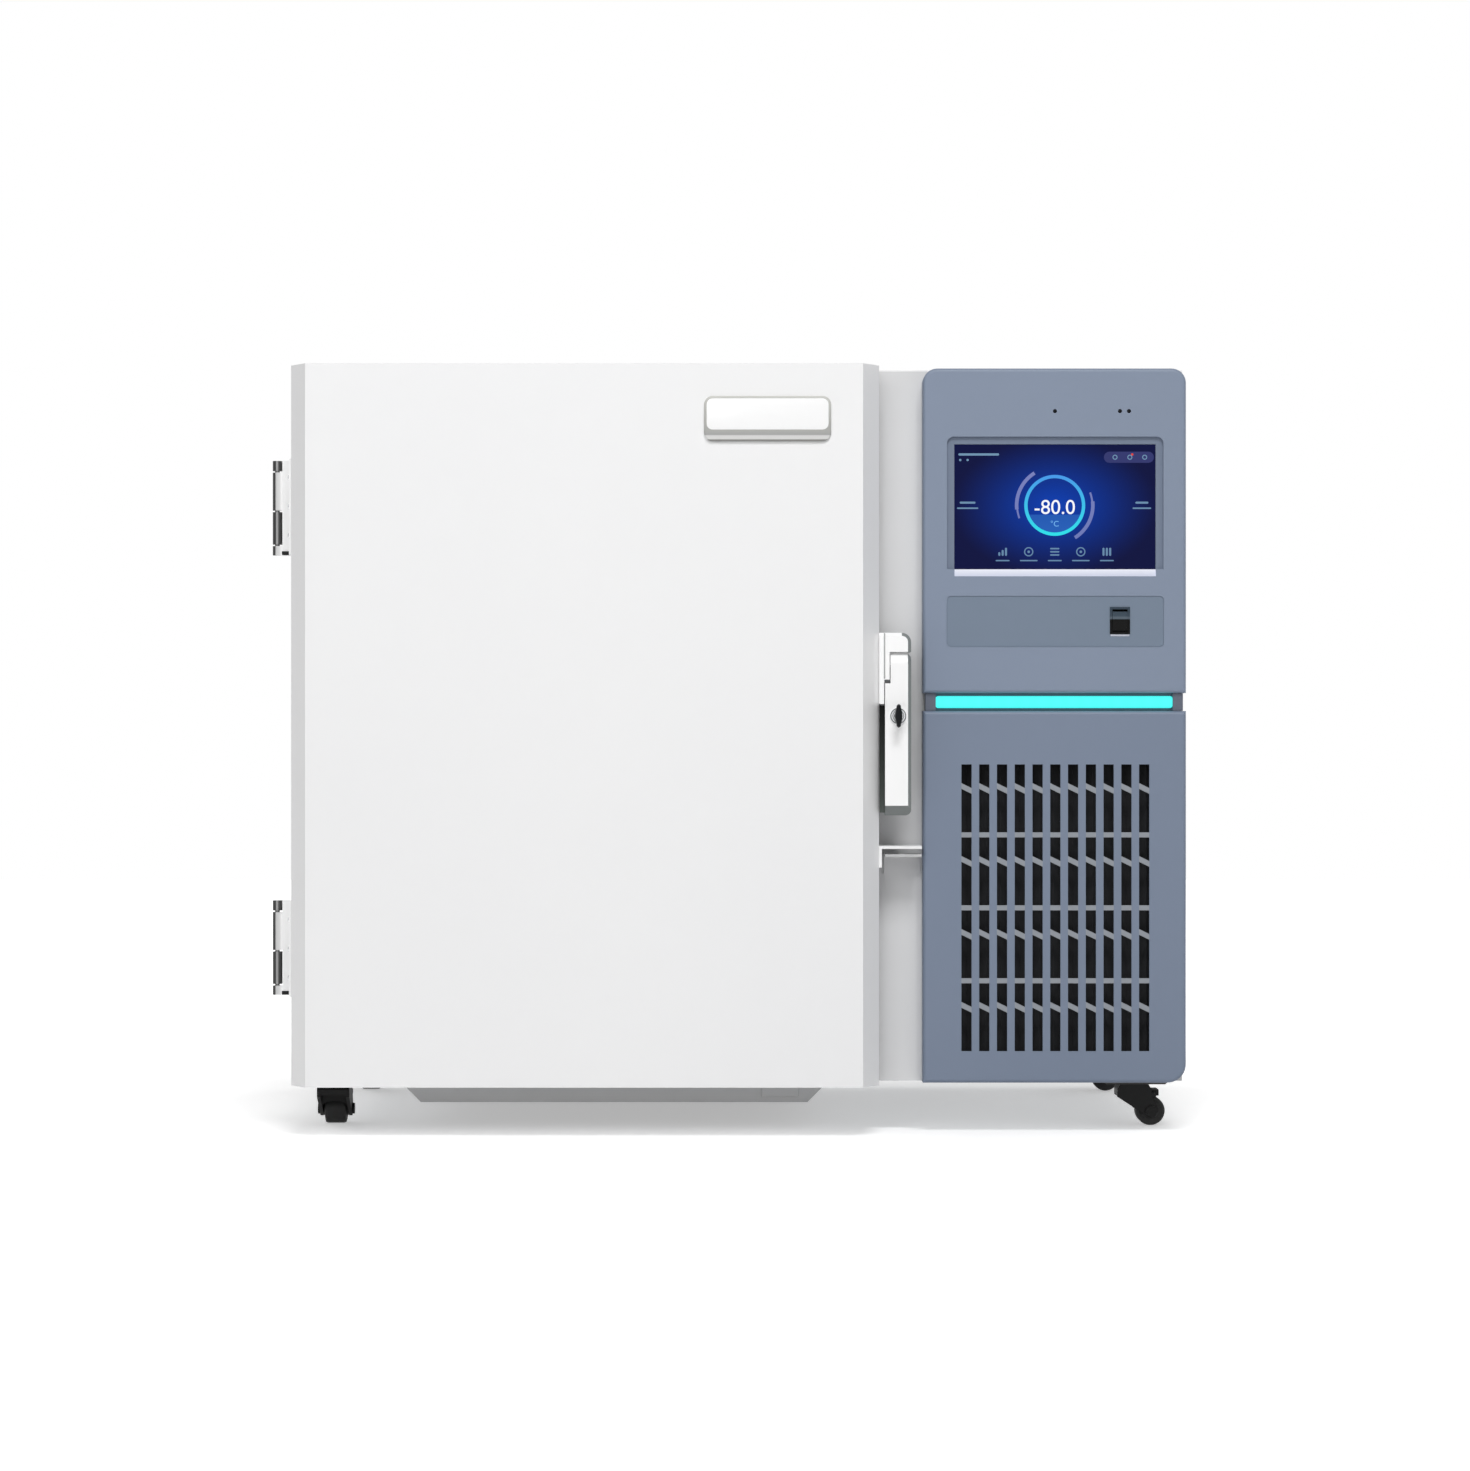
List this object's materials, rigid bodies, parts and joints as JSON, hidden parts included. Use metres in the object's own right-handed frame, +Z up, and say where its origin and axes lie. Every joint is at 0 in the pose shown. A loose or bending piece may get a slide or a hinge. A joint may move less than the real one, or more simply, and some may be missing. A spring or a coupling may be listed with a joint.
{
  "type": "ultra low temperature freezer",
  "caption": "Under-counter ultra low temperature freezer with a hinged insulated door, lever handle and key lock, touch-screen column, slotted grille and swivel casters.",
  "frame": {"origin": "on the floor, in the middle of the overall box", "axes": "+X to the right seen from the front, +Y to the back, +Z up"},
  "size_m": [0.986, 0.68, 0.825],
  "materials": {
    "white_paint": "satin",
    "grey_paint": "satin",
    "galvanised": "satin",
    "stainless": "satin",
    "hinge_metal": "satin",
    "chrome": "polished",
    "black_paint": "satin",
    "aluminium_fins": "satin",
    "copper": "satin",
    "bezel_plastic": "satin",
    "label_plastic": "satin",
    "channel_plastic": "matte",
    "white_plastic": "gloss",
    "nameplate_metal": "satin",
    "screen": "polished",
    "light_diffuser": "satin",
    "black_plastic": "matte",
    "filter_media": "matte",
    "foam": "matte",
    "gasket_rubber": "matte",
    "black_rubber": "matte",
    "tread": "matte"
  },
  "bodies": {
    "cabinet": {"base_tray": "galvanised", "belly_pan": "grey_paint", "left_side_panel": "white_paint", "right_side_panel": "white_paint", "top_panel": "white_paint", "rear_panel": "white_paint", "front_frame": "white_paint", "insulation_foam": "foam", "chamber_liner": "stainless", "breaker_frame": "white_plastic", "evaporator_coil": "copper", "shelf": "stainless", "shelf_brackets": "stainless", "inner_door_hinges": "stainless", "upper_bezel": "bezel_plastic", "touch_screen": "screen", "switch_panel": "label_plastic", "switch_frame": "black_plastic", "light_bar": "light_diffuser", "light_channel": "channel_plastic", "air_filter": "filter_media", "condenser": "aluminium_fins", "fan_shroud": "galvanised", "compressor_low_stage": "black_paint", "compressor_high_stage": "black_paint", "cascade_exchanger": "black_rubber", "refrigerant_lines": "copper", "control_box": "galvanised", "mains_inlet": "black_plastic", "rear_bumpers": "black_rubber", "hinge_leaves_cabinet": "hinge_metal", "padlock_tab_cabinet": "white_paint", "latch_strike": "stainless", "caster_plates": "black_paint"},
    "door": {"door_skin": "white_paint", "door_foam": "foam", "door_liner": "white_plastic", "door_gasket": "gasket_rubber", "nameplate": "nameplate_metal", "hinge_leaves_door": "white_paint", "latch_base": "white_plastic", "padlock_tab_door": "white_paint"},
    "handle": {"handle_lever": "white_plastic", "lock_barrel": "chrome"},
    "key": {"lock_key": "black_plastic"},
    "upper_inner_door": {"inner_door_upper": "white_plastic"},
    "lower_inner_door": {"inner_door_lower": "white_plastic"},
    "grille": {"grille_panel": "bezel_plastic"},
    "fan": {"fan_blade": "black_plastic"},
    "rocker": {"power_rocker": "black_plastic"},
    "caster_front_left": {"caster_fork_front_left": "black_plastic"},
    "wheel_front_left": {"caster_wheel_front_left": "tread"},
    "caster_front_right": {"caster_fork_front_right": "black_plastic"},
    "wheel_front_right": {"caster_wheel_front_right": "tread"},
    "caster_rear_left": {"caster_fork_rear_left": "black_plastic"},
    "wheel_rear_left": {"caster_wheel_rear_left": "tread"},
    "caster_rear_right": {"caster_fork_rear_right": "black_plastic"},
    "wheel_rear_right": {"caster_wheel_rear_right": "tread"},
    "brake_front_left": {"brake_pedal_front_left": "black_plastic"},
    "brake_front_right": {"brake_pedal_front_right": "black_plastic"}
  },
  "joints": [
    {"name": "door_hinge", "type": "hinge", "parent": "cabinet", "child": "door", "pos_m": [-0.488, -0.263, 0.44], "axis": [0, 0, -1], "range_deg": [0, 120]},
    {"name": "handle_pull", "type": "hinge", "parent": "door", "child": "handle", "pos_m": [0.184, -0.308, 0.505], "axis": [-1, 0, 0], "range_deg": [0, 50]},
    {"name": "key_turn", "type": "hinge", "parent": "handle", "child": "key", "pos_m": [0.181, -0.31, 0.4502], "axis": [0, 1, 0], "range_deg": [0, 90]},
    {"name": "upper_inner_door_hinge", "type": "hinge", "parent": "cabinet", "child": "upper_inner_door", "pos_m": [-0.343, -0.221, 0.574], "axis": [0, 0, -1], "range_deg": [0, 90]},
    {"name": "lower_inner_door_hinge", "type": "hinge", "parent": "cabinet", "child": "lower_inner_door", "pos_m": [-0.343, -0.221, 0.306], "axis": [0, 0, -1], "range_deg": [0, 90]},
    {"name": "grille_pull", "type": "slide", "parent": "cabinet", "child": "grille", "axis": [0, -1, 0], "range_m": [0, 0.06]},
    {"name": "fan_spin", "type": "hinge", "parent": "cabinet", "child": "fan", "pos_m": [0.34775, -0.155, 0.239], "axis": [0, 1, 0], "continuous": true},
    {"name": "rocker_tip", "type": "hinge", "parent": "cabinet", "child": "rocker", "pos_m": [0.4216, -0.2712, 0.55315], "axis": [-1, 0, 0], "range_deg": [0, 14]},
    {"name": "swivel_front_left", "type": "hinge", "parent": "cabinet", "child": "caster_front_left", "pos_m": [-0.435, -0.176, 0.046], "axis": [0, 0, 1], "continuous": true},
    {"name": "roll_front_left", "type": "hinge", "parent": "caster_front_left", "child": "wheel_front_left", "pos_m": [-0.435, -0.1575, 0.016], "axis": [1, 0, 0], "continuous": true},
    {"name": "brake_front_left", "type": "hinge", "parent": "caster_front_left", "child": "brake_front_left", "pos_m": [-0.435, -0.154, 0.0345], "axis": [-1, 0, 0], "range_deg": [0, 10]},
    {"name": "swivel_front_right", "type": "hinge", "parent": "cabinet", "child": "caster_front_right", "pos_m": [0.446, -0.176, 0.046], "axis": [0, 0, 1], "continuous": true},
    {"name": "roll_front_right", "type": "hinge", "parent": "caster_front_right", "child": "wheel_front_right", "pos_m": [0.4645, -0.176, 0.016], "axis": [0, 1, 0], "continuous": true},
    {"name": "brake_front_right", "type": "hinge", "parent": "caster_front_right", "child": "brake_front_right", "pos_m": [0.468, -0.176, 0.0345], "axis": [0, 1, 0], "range_deg": [0, 10]},
    {"name": "swivel_rear_left", "type": "hinge", "parent": "cabinet", "child": "caster_rear_left", "pos_m": [-0.435, 0.233, 0.046], "axis": [0, 0, 1], "continuous": true},
    {"name": "roll_rear_left", "type": "hinge", "parent": "caster_rear_left", "child": "wheel_rear_left", "pos_m": [-0.435, 0.2515, 0.016], "axis": [1, 0, 0], "continuous": true},
    {"name": "swivel_rear_right", "type": "hinge", "parent": "cabinet", "child": "caster_rear_right", "pos_m": [0.436, 0.233, 0.046], "axis": [0, 0, 1], "continuous": true},
    {"name": "roll_rear_right", "type": "hinge", "parent": "caster_rear_right", "child": "wheel_rear_right", "pos_m": [0.4545, 0.233, 0.016], "axis": [0, 1, 0], "continuous": true}
  ],
  "couplings": [
    {"joint": "upper_inner_door_hinge", "follows": "door_hinge", "ratio": 0.75},
    {"joint": "lower_inner_door_hinge", "follows": "door_hinge", "ratio": 0.75}
  ]
}
